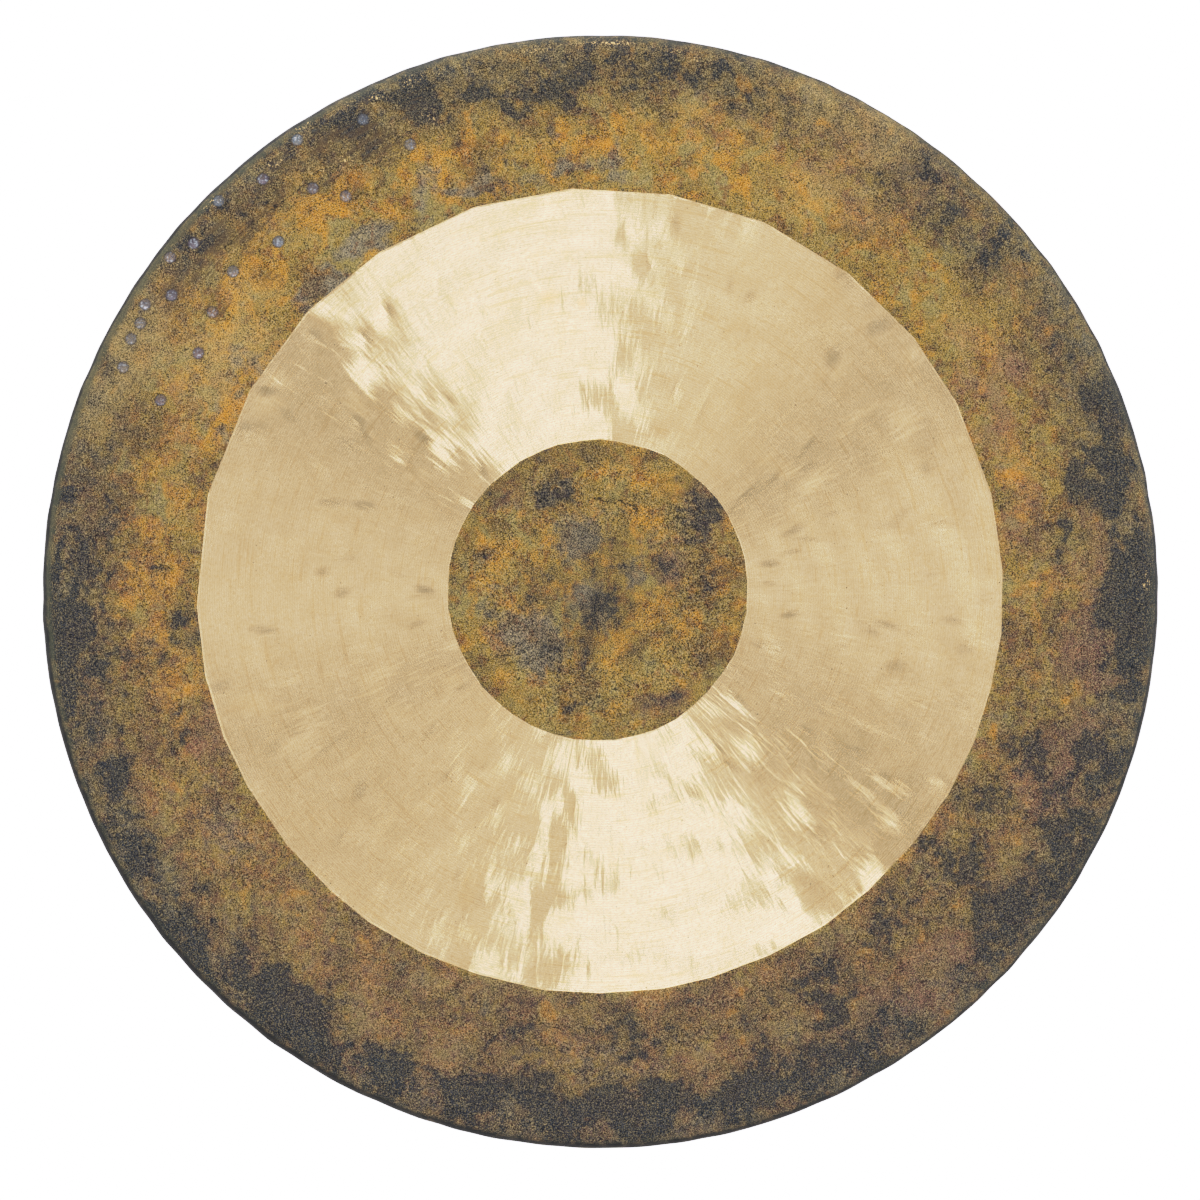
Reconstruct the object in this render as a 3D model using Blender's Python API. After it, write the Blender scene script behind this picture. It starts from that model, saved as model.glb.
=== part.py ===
# A chau gong: one disc of hammered bronze whose edge is turned back to make a rim.
# Units are metres. The face looks towards -Y, +X is to the right and +Z is up.
# The world origin lies midway between the two cord holes, which the gong hangs by.

import math

import bmesh
import bpy
from mathutils import Matrix, Vector

# Outer size
DIAMETER = 0.7112            # a 28 inch gong, across the face
TOTAL_DEPTH = 0.050          # from the crown of the face to the back lip
DOME_HEIGHT = 0.009          # how far the crown stands in front of the bend
BEND_RADIUS = 0.014          # outside of the bend between face and rim
RIM_LEAN = math.radians(5)   # the rim leans inwards towards the back
LIP_CHAMFER = 0.0003

# Thickness of the plate
CENTRE_THICKNESS = 0.0032
EDGE_THICKNESS = 0.0023
LIP_THICKNESS = 0.0028       # the metal gathers as the rim is beaten back

# The band that is scraped bright on a lathe, on both sides
BAND_INNER_RADIUS = 0.095
BAND_OUTER_RADIUS = 0.256
BAND_CUT = 0.0003            # metal that the scraper takes off each side
BAND_EDGE = 0.001            # width of the slope at the edge of the cut

# Cord holes, drilled square to the rim
HOLE_DIAMETER = 0.009
HOLE_ANGLE = math.radians(13)   # each side of the top
HOLE_DEPTH = 0.034              # behind the crown
DRILL_LENGTH = 0.028            # passes both faces of the rim

# A hand-beaten outline isn't quite round: number of lobes, height, angle of one crest from +X
OUTLINE_WAVES = (
    (2, 0.00035, math.radians(170)),
    (3, 0.00022, math.radians(118)),
    (5, 0.00015, math.radians(61)),
    (7, 0.00011, math.radians(27)),
)

# Fineness of the mesh
SEGMENTS = 96
CENTRE_RING_RADIUS = 0.043
BEND_STEPS = 7
HOLE_SIDES = 20
SHARP_ANGLE = math.radians(40)

RADIUS = DIAMETER / 2
BEND_CENTRE_RADIUS = RADIUS - BEND_RADIUS


def dome_depth(radius):
    # The face before the bend is a shallow dome.
    return DOME_HEIGHT * (radius / BEND_CENTRE_RADIUS) ** 2


def dome_slope(radius):
    return math.atan(2 * DOME_HEIGHT * radius / BEND_CENTRE_RADIUS ** 2)


def plate_thickness(radius):
    share = 1 - (radius / RADIUS) ** 2
    return EDGE_THICKNESS + (CENTRE_THICKNESS - EDGE_THICKNESS) * share


def face_radii():
    # Rings of the mesh across the face. The two edges of the scraped band get a ring on each side.
    half = BAND_EDGE / 2
    band_middle = (BAND_INNER_RADIUS + BAND_OUTER_RADIUS) / 2
    return (
        CENTRE_RING_RADIUS,
        BAND_INNER_RADIUS - half,
        BAND_INNER_RADIUS + half,
        band_middle,
        BAND_OUTER_RADIUS - half,
        BAND_OUTER_RADIUS + half,
        (BAND_OUTER_RADIUS + BEND_CENTRE_RADIUS) / 2,
    )


def in_band(radius):
    return BAND_INNER_RADIUS < radius < BAND_OUTER_RADIUS


class Station:
    # One place along the outside of the section, with the direction that it runs in.
    # A heading of 0 runs outwards along the face and 90 degrees runs straight back.
    def __init__(self, radius, depth, heading, thickness, cut=0.0):
        self.radius = radius
        self.depth = depth
        self.heading = heading
        self.thickness = thickness
        self.cut = cut

    def offset(self, distance):
        # A point that far inside the metal, square to the surface.
        return (
            self.radius - distance * math.sin(self.heading),
            self.depth + distance * math.cos(self.heading),
        )

    def outer(self):
        return self.offset(self.cut)

    def inner(self):
        return self.offset(self.thickness - self.cut)


def section_stations():
    stations = []
    for radius in face_radii():
        cut = BAND_CUT if in_band(radius) else 0.0
        stations.append(
            Station(radius, dome_depth(radius), dome_slope(radius), plate_thickness(radius), cut)
        )

    # The bend: an arc that starts along the dome and ends along the rim.
    start = dome_slope(BEND_CENTRE_RADIUS)
    end = math.radians(90) + RIM_LEAN
    arc_centre_depth = dome_depth(BEND_CENTRE_RADIUS) + BEND_RADIUS * math.cos(start)
    for step in range(BEND_STEPS + 1):
        share = step / BEND_STEPS
        heading = start + (end - start) * share
        radius = BEND_CENTRE_RADIUS + BEND_RADIUS * math.sin(heading)
        depth = arc_centre_depth - BEND_RADIUS * math.cos(heading)
        thickness = EDGE_THICKNESS + (LIP_THICKNESS - EDGE_THICKNESS) * share
        stations.append(Station(radius, depth, heading, thickness))
    return stations


def rim_radius(depth):
    # Outside of the rim at a depth behind the crown.
    bend_end = section_stations()[-1]
    return bend_end.radius - (depth - bend_end.depth) * math.tan(RIM_LEAN)


def section_loop():
    # The closed section from the crown, out along the front, round the lip and back along the inside.
    # The first and last points lie on the axis.
    stations = section_stations()
    lip_outer = rim_radius(TOTAL_DEPTH)
    lip_inner = lip_outer - LIP_THICKNESS / math.cos(RIM_LEAN)
    before_lip = TOTAL_DEPTH - LIP_CHAMFER
    lip = [
        (rim_radius(before_lip), before_lip),
        (lip_outer - LIP_CHAMFER, TOTAL_DEPTH),
        (lip_inner + LIP_CHAMFER, TOTAL_DEPTH),
        (rim_radius(before_lip) - LIP_THICKNESS / math.cos(RIM_LEAN), before_lip),
    ]
    front = [station.outer() for station in stations]
    back = [station.inner() for station in reversed(stations)]
    return [(0.0, 0.0), *front, *lip, *back, (0.0, CENTRE_THICKNESS)]


def out_of_round(angle):
    return sum(height * math.cos(lobes * (angle - crest)) for lobes, height, crest in OUTLINE_WAVES)


def turned_point(radius, depth, angle):
    # The waves of the outline fade towards the middle of the face.
    radius += out_of_round(angle) * (radius / RADIUS) ** 3
    return Vector((radius * math.cos(angle), depth, radius * math.sin(angle)))


def add_principled(name, colour, roughness):
    material = bpy.data.materials.new(name)
    material.use_nodes = True
    shader = material.node_tree.nodes["Principled BSDF"]
    shader.inputs["Base Color"].default_value = (*colour, 1.0)
    shader.inputs["Roughness"].default_value = roughness
    shader.inputs["Metallic"].default_value = 1.0
    return material


def build_gong_mesh():
    mesh = bpy.data.meshes.new("gong_disc")
    mesh.materials.append(add_principled("oxidised_bronze", (0.27, 0.17, 0.07), 0.5))
    mesh.materials.append(add_principled("scraped_bronze", (0.68, 0.52, 0.28), 0.25))
    section = section_loop()
    bm = bmesh.new()

    rings = []
    for radius, depth in section[1:-1]:
        ring = []
        for segment in range(SEGMENTS):
            angle = 2 * math.pi * segment / SEGMENTS
            ring.append(bm.verts.new(turned_point(radius, depth, angle)))
        rings.append(ring)
    front_centre = bm.verts.new((0.0, section[0][1], 0.0))
    back_centre = bm.verts.new((0.0, section[-1][1], 0.0))

    for segment in range(SEGMENTS):
        after = (segment + 1) % SEGMENTS
        bm.faces.new((front_centre, rings[0][segment], rings[0][after]))
        bm.faces.new((back_centre, rings[-1][after], rings[-1][segment]))
        for ring, next_ring in zip(rings, rings[1:]):
            corners = (ring[segment], next_ring[segment], next_ring[after], ring[after])
            bm.faces.new(corners)

    bmesh.ops.recalc_face_normals(bm, faces=bm.faces)
    for face in bm.faces:
        centre = face.calc_center_median()
        face.material_index = 1 if in_band(math.hypot(centre.x, centre.z)) else 0
    bm.to_mesh(mesh)
    bm.free()
    mesh.shade_smooth()
    mesh.set_sharp_from_angle(angle=SHARP_ANGLE)
    return mesh


def add_hole_cutter(name, side, centre):
    # A drill that stands square to the rim.
    from_top = side * HOLE_ANGLE
    along = Vector((math.sin(from_top), 0.0, math.cos(from_top)))
    middle = along * (rim_radius(HOLE_DEPTH) - LIP_THICKNESS / 2)
    middle.y = HOLE_DEPTH
    mesh = bpy.data.meshes.new(name)
    bm = bmesh.new()
    bmesh.ops.create_cone(
        bm,
        cap_ends=True,
        segments=HOLE_SIDES,
        radius1=HOLE_DIAMETER / 2,
        radius2=HOLE_DIAMETER / 2,
        depth=DRILL_LENGTH,
        matrix=Matrix.Translation(middle) @ along.to_track_quat("Z", "Y").to_matrix().to_4x4(),
    )
    bm.to_mesh(mesh)
    bm.free()
    cutter = bpy.data.objects.new(name, mesh)
    bpy.context.collection.objects.link(cutter)
    cutter.parent = centre
    cutter.display_type = "WIRE"
    cutter.hide_render = True
    return cutter


def add_gong():
    # The empty sits at the centre of the disc, level with the crown of the face.
    centre = bpy.data.objects.new("gong_centre", None)
    bpy.context.collection.objects.link(centre)
    hole_height = (rim_radius(HOLE_DEPTH) - LIP_THICKNESS / 2) * math.cos(HOLE_ANGLE)
    centre.location = (0.0, -HOLE_DEPTH, -hole_height)

    gong = bpy.data.objects.new("gong_disc", build_gong_mesh())
    bpy.context.collection.objects.link(gong)
    gong.parent = centre
    for name, side in (("left_hole_cutter", -1), ("right_hole_cutter", 1)):
        drill = gong.modifiers.new(name, "BOOLEAN")
        drill.operation = "DIFFERENCE"
        drill.solver = "EXACT"
        drill.object = add_hole_cutter(name, side, centre)
    return gong


for leftover in list(bpy.data.objects):
    bpy.data.objects.remove(leftover, do_unlink=True)

disc = add_gong()
bpy.context.view_layer.update()
print("gong disc, width, depth and height in mm:", [round(1000 * side, 1) for side in disc.dimensions])
print("centre of the face in mm:", [round(1000 * value, 2) for value in disc.matrix_world.translation])
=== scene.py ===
import random
from math import atan, atan2, cos, degrees, dist, exp, hypot, inf, pi, radians, sin, sqrt, tan

import bmesh
import bpy
import numpy as np
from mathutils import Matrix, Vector


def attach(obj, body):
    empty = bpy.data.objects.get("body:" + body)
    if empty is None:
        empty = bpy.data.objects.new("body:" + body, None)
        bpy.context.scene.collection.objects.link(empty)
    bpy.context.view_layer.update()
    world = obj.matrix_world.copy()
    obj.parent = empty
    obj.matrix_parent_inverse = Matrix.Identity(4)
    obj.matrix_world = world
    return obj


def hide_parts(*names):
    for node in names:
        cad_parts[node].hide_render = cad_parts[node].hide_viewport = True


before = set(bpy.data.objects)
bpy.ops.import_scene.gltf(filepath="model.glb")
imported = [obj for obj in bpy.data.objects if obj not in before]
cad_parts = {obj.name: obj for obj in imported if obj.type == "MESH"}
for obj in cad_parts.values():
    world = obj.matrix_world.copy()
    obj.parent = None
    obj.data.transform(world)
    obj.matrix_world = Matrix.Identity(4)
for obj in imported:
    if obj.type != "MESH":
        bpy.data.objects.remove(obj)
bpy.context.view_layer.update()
mm = 0.001

# The plate's section. Sizes in mm, angles in degrees, all as in the CAD.
plate = {
    "diameter": 711.2,
    "depth": 50.0,  # crown of the face to the back lip
    "dome": 9.0,
    "bend": 14.0,  # outside radius between face and rim
    "rimLean": 5.0,
    "centreThickness": 3.2,
    "edgeThickness": 2.3,
    "lipThickness": 2.8,
    "bandInner": 95.0,  # the bright scraped ring
    "bandOuter": 256.0,
    "bandCut": 0.3,
    "holeDiameter": 9.0,
    "holeAngle": 13.0,  # each side of the top
    "holeDepth": 34.0,
    "drillLength": 26.0,  # passes both faces of the rim
    "drillSides": 40,
    "outlineWaves": ((2, 0.35, 170), (3, 0.22, 118), (5, 0.15, 61), (7, 0.11, 27)),
}

# How fine the visible mesh is, and how uneven the hammer left it
hammering = {
    "segments": 472,
    "faceStep": 3.5,  # mm between rings on the front
    "centreStep": 4.2,  # the same inside the bright ring
    "rimStep": 3.2,
    "backStep": 6.5,
    "innerBendStep": 3.4,  # inside the bend and the rim
    "bendRows": 14,
    "lipRows": 8,
    "edgeHalf": 0.35,  # half the slope at each edge of the bright ring
    "edgeNext": 0.9,  # from there to the next ring of points
    "edgeGap": 1.5,
    "edgeKept": 1.4,  # the back keeps every ring that is this close to an edge
    "planishSlope": 0.006,  # typical tilt of the soft hammer waves
    "planishLengths": (22.0, 58.0),
    "outerRougher": (1.5, 250, 280),  # the waves grow by this share over this part of the outer band
    "raySlope": 0.0105,  # waves that run out from the centre, left by rings of blows
    "rayRadius": 175,  # where they slope that much
    "rayLobes": (8, 38),
    "rayLengths": (20.0, 80.0),
    "rayFade": (40, 95, 250, 300),  # mm from the crown: where they start, are full, fade and end
    "blows": 330,  # separate hammer marks on the bright ring
    "hardBlows": 60,  # some parts were struck harder, by azimuth in degrees
    "hardParts": ((58, 86), (124, 156), (240, 263), (298, 310), (322, 334)),
    "blowWidth": (0.0154, 0.0418),  # of the radius they lie at
    "blowLength": (7.0, 17.0),
    "blowSlope": (0.006, 0.02),
    "hardSlope": (0.02, 0.05),
    "blowLean": 0.35,
    "blowForce": 0.6,  # the most that a blow presses the scraped lines flat
    "ridge": (313, 14.0, 0.42),  # a low swelling: azimuth of its crest, degrees it rises in, height
    "ridgeFade": (90, 130, 230, 275),
    "calm": (322, 12.0, 0.65),  # where the waves are weaker: azimuth, width and by how much
    "rimFrom": (322, 352),
    "rimSlope": 0.035,
    "rimLengths": (18.0, 34.0),
    "seed": 11,
}


def plateRadius():
    return plate["diameter"] / 2


def bendStart():
    return plateRadius() - plate["bend"]


def domeDepth(r):
    return plate["dome"] * (r / bendStart()) ** 2


def domeSlope(r):
    return atan(2 * plate["dome"] * r / bendStart() ** 2)


def bendEnd():
    heading = radians(90 + plate["rimLean"])
    middle = domeDepth(bendStart()) + plate["bend"] * cos(domeSlope(bendStart()))
    return bendStart() + plate["bend"] * sin(heading), middle - plate["bend"] * cos(heading)


def rimRadius(depth):
    r, d = bendEnd()
    return r - (depth - d) * tan(radians(plate["rimLean"]))


def steps(start, end, size):
    count = max(1, round((end - start) / size))
    return [start + (end - start) * k / count for k in range(1, count + 1)]


def frontStations():
    # Places along the outside, from the crown to the lip: (radius, depth, heading, metal scraped off)
    h = hammering
    size, half, gap = h["faceStep"], h["edgeHalf"], h["edgeNext"]
    inner, outer = plate["bandInner"], plate["bandOuter"]
    first, last, edge = inner + half, outer - half, outer + half
    centre = steps(0.0, inner - h["edgeGap"], h["centreStep"]) + [inner - half]
    bright = [first, first + gap] + steps(first + gap, last - gap, size) + [last]
    border = [edge, edge + gap] + steps(edge + gap, bendStart(), size)
    out = []
    for radii, cut in ((centre, 0.0), (bright, plate["bandCut"]), (border, 0.0)):
        out += [(r, domeDepth(r), domeSlope(r), cut) for r in radii]
    start = domeSlope(bendStart())
    end = radians(90 + plate["rimLean"])
    middle = domeDepth(bendStart()) + plate["bend"] * cos(start)
    for k in range(1, h["bendRows"] + 1):
        heading = start + (end - start) * k / h["bendRows"]
        r = bendStart() + plate["bend"] * sin(heading)
        out.append((r, middle - plate["bend"] * cos(heading), heading, 0.0))
    lipRound = plate["lipThickness"] / 2
    for d in steps(out[-1][1], plate["depth"] - lipRound, h["rimStep"]):
        out.append((rimRadius(d), d, end, 0.0))
    return out


def thicknessAt(r, heading):
    share = 1 - (r / plateRadius()) ** 2
    face = plate["edgeThickness"] + (plate["centreThickness"] - plate["edgeThickness"]) * max(0.0, share)
    turn = max(0.0, degrees(heading) - 4) / 90
    return face + (plate["lipThickness"] - plate["edgeThickness"]) * min(1.0, turn)


def backStations(front):
    # The inside follows the outside at the plate's thickness, with rings further apart
    out, lastArc = [], inf
    arc = arcLengths([(s[0], s[1]) for s in front])
    for station, s in reversed(list(zip(front, arc))):
        r, d, heading, cut = station
        fromEdge = min(abs(r - plate["bandInner"]), abs(r - plate["bandOuter"]))
        inBend = heading > 0.2
        wanted = hammering["innerBendStep" if inBend else "backStep"]
        if lastArc - s < wanted and fromEdge >= hammering["edgeKept"]:
            continue
        lastArc = s
        t = thicknessAt(r, heading) - cut
        out.append((r - t * sin(heading), d + t * cos(heading), heading, s, cut))
    return out


def arcLengths(points):
    total, arcs, before = 0.0, [], (0.0, 0.0)
    for p in points:
        total += dist(p, before)
        arcs.append(total)
        before = p
    return arcs


def buildSection():
    # Rows of the lathe: radius, depth, outward normal (radial, depth), arc from the crown, side
    rows = []
    front = frontStations()
    arcs = arcLengths([(s[0], s[1]) for s in front])
    for (r, d, heading, cut), s in zip(front, arcs):
        normal = (sin(heading), -cos(heading))
        rows.append((r - cut * normal[0], d - cut * normal[1], *normal, s, 1.0))
    # A rounded lip, half a turn from the outside of the rim to the inside
    r, d = front[-1][:2]
    half = plate["lipThickness"] / 2
    lean = radians(plate["rimLean"])
    along = (-sin(lean), cos(lean))
    inward = (-cos(lean), -sin(lean))
    for k in range(1, hammering["lipRows"]):
        a = pi * k / hammering["lipRows"]
        across, ahead = half * (1 - cos(a)), half * sin(a) ** 0.6
        pr = r + inward[0] * across + along[0] * ahead
        pd = min(plate["depth"], d + inward[1] * across + along[1] * ahead + 0.12)
        normal = (cos(a), sin(a))
        rows.append((pr, pd, *normal, arcs[-1] + ahead, 0.0))
    for r, d, heading, s, cut in backStations(front):
        rows.append((r, d, -sin(heading), cos(heading), s, -1.0))
    return rows


def outOfRound(angle):
    total = np.zeros_like(angle)
    for lobes, height, crest in plate["outlineWaves"]:
        total += height * np.cos(lobes * (angle - radians(crest)))
    return total


def chordEdge(edge, radius, angle):
    # Straight cuts from corner to corner, where the scraper met the wavy plate, and a little off centre
    rng = random.Random(edge["seed"])
    reach = [radius + edge["corner"] + rng.uniform(-1, 1) * edge["uneven"] for _ in edge["corners"]]
    corners = [(radians(a), r) for a, r in zip(edge["corners"], reach)]
    corners.insert(0, (corners[-1][0] - 2 * pi, corners[-1][1]))
    corners.append((corners[1][0] + 2 * pi, corners[1][1]))
    found = np.zeros_like(angle)
    for (a1, r1), (a2, r2) in zip(corners, corners[1:]):
        here = (angle >= a1) & (angle < a2)
        part = angle[here]
        found[here] = r1 * r2 * sin(a2 - a1) / (r1 * np.sin(part - a1) + r2 * np.sin(a2 - part))
    off, towards = edge["offCentre"]
    return found - radius + off * np.cos(angle - radians(towards))


def softWaves(x, z, seed, lengths, slope, count=34):
    rng = random.Random(seed)
    total = np.zeros_like(x)
    for _ in range(count):
        length = rng.uniform(*lengths)
        a, phase = rng.uniform(0, 2 * pi), rng.uniform(0, 2 * pi)
        k = 2 * pi / length
        total += slope / k * np.cos(k * (x * cos(a) + z * sin(a)) + phase)
    return total * sqrt(2 / count)


def rayWaves(s, angle, seed, lobes, lengths, slope, count=70):
    # Waves in angle, so they narrow towards the centre, that wander slowly with the radius
    rng = random.Random(seed)
    total = np.zeros_like(s)
    for _ in range(count):
        m = round(lobes[0] * (lobes[1] / lobes[0]) ** rng.random())
        k = 2 * pi / rng.uniform(*lengths) * rng.choice((-1, 1))
        phase = rng.uniform(0, 2 * pi)
        total += slope * hammering["rayRadius"] / m * np.cos(m * angle + k * s + phase)
    return total * sqrt(2 / count)


def hammerBlows(s, angle, seed):
    # Single blows: small lens-shaped hollows, and how far each has pressed the scraped lines flat
    h = hammering
    rng = random.Random(seed)
    height, pressed = np.zeros_like(s), np.zeros_like(s)
    for k in range(h["blows"] + h["hardBlows"]):
        hard = k >= h["blows"]
        r0 = sqrt(rng.uniform((plate["bandInner"] + 4) ** 2, plate["bandOuter"] ** 2))
        width = r0 * rng.uniform(*h["blowWidth"])
        length = rng.uniform(*h["blowLength"])
        depth = rng.uniform(*h["hardSlope" if hard else "blowSlope"]) * width * rng.choice((-1, -1, 1))
        a0 = rng.uniform(-pi, pi)
        lean = rng.uniform(-h["blowLean"], h["blowLean"])
        force = h["blowForce"] * rng.random() ** 2
        if hard:
            a0 = radians(rng.uniform(*rng.choice(h["hardParts"])))
        across = ((angle - a0 + pi) % (2 * pi) - pi) * r0
        along = s - r0
        near = (np.abs(across) < 4 * width + length) & (np.abs(along) < 3 * length)
        u = (across[near] - lean * along[near]) / width
        mark = np.exp(-u ** 2 - (along[near] / length) ** 2)
        height[near] += depth * mark
        pressed[near] = np.maximum(pressed[near], force * mark ** 2)
    return height, pressed


def smooth(value, low, high):
    t = np.clip((value - low) / (high - low), 0, 1)
    return t * t * (3 - 2 * t)


def within(value, start, full, fade, end):
    # 1 from full to fade, and down to 0 at start and end
    return smooth(value, start, full) * (1 - smooth(value, fade, end))


def turnFrom(angle, azimuth):
    # Degrees from an azimuth, -180 to 180
    return (np.degrees(angle) - azimuth + 180) % 360 - 180


def reliefAt(s, angle):
    # Height of the hammered surface along its normal, in mm
    h = hammering
    x, z = s * np.cos(angle), s * np.sin(angle)
    seed = h["seed"]
    planish = softWaves(x, z, seed, h["planishLengths"], h["planishSlope"])
    rougher, start, full = h["outerRougher"]
    planish *= 1 + rougher * smooth(s, start, full)
    rays = rayWaves(s, angle, seed + 1, h["rayLobes"], h["rayLengths"], h["raySlope"])
    rays *= within(s, *h["rayFade"])
    rim = softWaves(x, z, seed + 2, h["rimLengths"], h["rimSlope"]) * smooth(s, *h["rimFrom"])
    blows, pressed = hammerBlows(s, angle, seed + 3)
    middle, width, weaker = h["calm"]
    rays *= 1 - weaker * np.exp(-(turnFrom(angle, middle) / width) ** 2)
    crest, rise, high = h["ridge"]
    swelling = within(turnFrom(angle, crest), -rise, 0, 0, 8 * rise)
    rays += high * swelling * within(s, *h["ridgeFade"])
    return planish + rays + rim + blows, pressed


# The two edges of the bright ring: angles in degrees, the rest in mm
scrapedEdges = {
    "inner": {
        "seed": 3, "corner": 0.3, "uneven": 0.5, "offCentre": (1.7, 148),
        "corners": (
            4, 13, 20, 31, 38, 46, 57, 65, 72, 83, 90, 97, 106, 112, 121, 130, 136, 145, 154, 161, 170, 177,
            186, 195, 203, 209, 219, 228, 234, 243, 252, 260, 267, 276, 285, 292, 301, 310, 317, 326, 335,
            343, 352,
        ),
    },
    "outer": {
        "seed": 5, "corner": 0.6, "uneven": 0.4, "offCentre": (0.7, 120),
        "corners": (
            3, 14, 28, 39, 52, 66, 80, 94, 108, 123, 136, 150, 166, 182, 192, 201, 209, 219, 228, 235, 244,
            252, 262, 270, 279, 286, 295, 304, 312, 321, 330, 338, 346, 354,
        ),
    },
}


# Round punch marks in the upper left of the outer band: x and z from the centre of the face, in mm
punchMarks = {
    "width": 7.4,
    "depth": 0.5,
    "burr": 0.07,  # height of the raised edge, whose crest and width follow
    "burrAt": (1.15, 0.2),  # these are shares of the mark's radius
    "floor": (0.88, 1.08),  # where its tint ends
    # a painted shade ring round each mark's rim, at this crest and width
    "outline": (0.98, 0.13),
    "tint": (0.55, 1.0),
    "fineRound": 3.1,  # the mesh is finer this far round each mark
    "fineCuts": 4,
    "seed": 4,
    "places": (
        (-151, 301), (-121, 285), (-193, 288), (-215, 263), (-183, 257), (-162, 252), (-243, 249),
        (-205, 223), (-259, 222), (-274, 213), (-234, 204), (-273, 189), (-247, 178), (-290, 183),
        (-293, 171), (-299, 161), (-256, 152), (-304, 143), (-280, 122),
    ),
}


def nearness(r, edge, width=14):
    # 1 at an edge of the bright ring, fading to 0 within a few widths
    return exp(-((r - edge) / width) ** 2)


def buildDisc():
    # One closed mesh: the section turned round the axis
    rows = buildSection()
    count = hammering["segments"]
    angles = np.arange(count) * 2 * pi / count
    innerEdge = chordEdge(scrapedEdges["inner"], plate["bandInner"], angles)
    outerEdge = chordEdge(scrapedEdges["outer"], plate["bandOuter"], angles)
    bm = bmesh.new()
    layers = {name: bm.verts.layers.float.new(name) for name in ("arc", "side", "normalR", "normalY")}
    rings = []
    for r, d, nr, ny, s, side in rows:
        shift = innerEdge * nearness(r, plate["bandInner"]) + outerEdge * nearness(r, plate["bandOuter"])
        radii = r + shift + outOfRound(angles) * (r / plateRadius()) ** 3
        ring = []
        for a, rr in zip(angles, radii):
            v = bm.verts.new((rr * cos(a), d, rr * sin(a)))
            v[layers["arc"]], v[layers["side"]] = s, side
            v[layers["normalR"]], v[layers["normalY"]] = nr, ny
            ring.append(v)
        rings.append(ring)
    ends = []
    for d, ny, side in ((0.0, -1.0, 1.0), (plate["centreThickness"], 1.0, -1.0)):
        v = bm.verts.new((0, d, 0))
        v[layers["side"]], v[layers["normalY"]] = side, ny
        ends.append(v)
    for k in range(count):
        n = (k + 1) % count
        bm.faces.new((ends[0], rings[0][k], rings[0][n]))
        bm.faces.new((ends[1], rings[-1][n], rings[-1][k]))
    for index in range(len(rings) - 1):
        a, b = rings[index], rings[index + 1]
        middle = (rows[index][0] + rows[index + 1][0]) / 2
        scraped = plate["bandInner"] < middle < plate["bandOuter"]
        for k in range(count):
            n = (k + 1) % count
            face = bm.faces.new((a[k], b[k], b[n], a[n]))
            face.material_index = 1 if scraped else 0
            face.smooth = True
    bmesh.ops.recalc_face_normals(bm, faces=bm.faces)
    refinePunchMarks(bm, layers)
    mesh = bpy.data.meshes.new("gongDisc")
    bm.to_mesh(mesh)
    bm.free()
    return mesh


def refinePunchMarks(bm, layers):
    # A finer mesh round the punch marks
    reach = punchMarks["width"] / 2 + punchMarks["fineRound"]
    edges = set()
    for face in bm.faces:
        c = face.calc_center_median()
        if face.verts[0][layers["side"]] < 0.5:
            continue
        if any(hypot(c.x - x, c.z - z) < reach for x, z in punchMarks["places"]):
            edges.update(face.edges)
    bmesh.ops.subdivide_edges(bm, edges=list(edges), cuts=punchMarks["fineCuts"], use_grid_fill=True)


def strengthen(masks, name, values):
    masks[name] = np.maximum(masks[name], values)


def shapeDisc(mesh):
    # Moves every point by the hammering and the punch marks, then turns mm into metres
    count = len(mesh.vertices)
    co = np.empty(count * 3)
    mesh.vertices.foreach_get("co", co)
    co = co.reshape(-1, 3)
    data = {}
    for name in ("arc", "side", "normalR", "normalY"):
        data[name] = np.empty(count)
        mesh.attributes[name].data.foreach_get("value", data[name])
    angle = np.arctan2(co[:, 2], co[:, 0])
    radius = np.hypot(co[:, 0], co[:, 2])
    height, data["pressed"] = reliefAt(data["arc"], angle)
    height *= data["side"]
    punched = {name: np.zeros(count) for name in ("punched", "punchRimShade", "punchTone")}
    rng = random.Random(punchMarks["seed"])
    front = data["side"] > 0.5
    burrCrest, burrWidth = punchMarks["burrAt"]
    shadeCrest, shadeWidth = punchMarks["outline"]
    for x, z in punchMarks["places"]:
        away = np.hypot(co[:, 0] - x, co[:, 2] - z) / (punchMarks["width"] / 2)
        height -= front * punchMarks["depth"] * np.clip(1 - away ** 2, 0, 1) ** 1.3
        height += front * punchMarks["burr"] * np.exp(-((away - burrCrest) / burrWidth) ** 2)
        # a thin ring of painted shade round the rim of each mark
        line = front * np.exp(-((away - shadeCrest) / shadeWidth) ** 2)
        tone = rng.random()
        tint = front * (1 - smooth(away, *punchMarks["floor"])) * rng.uniform(*punchMarks["tint"])
        strengthen(punched, "punched", tint)
        strengthen(punched, "punchTone", tone * (away < 1.4))
        strengthen(punched, "punchRimShade", line)
    unit = np.stack((np.cos(angle), np.zeros(count), np.sin(angle)), 1)
    co += unit * (height * data["normalR"])[:, None]
    co[:, 1] += height * data["normalY"]
    co[:, 1] = np.minimum(co[:, 1], plate["depth"])
    mesh.vertices.foreach_set("co", (co * mm).ravel())
    paintMasks(mesh, co, angle, radius, data, punched)
    for name in ("side", "normalR", "normalY"):
        mesh.attributes.remove(mesh.attributes[name])
    mesh.update()
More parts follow.
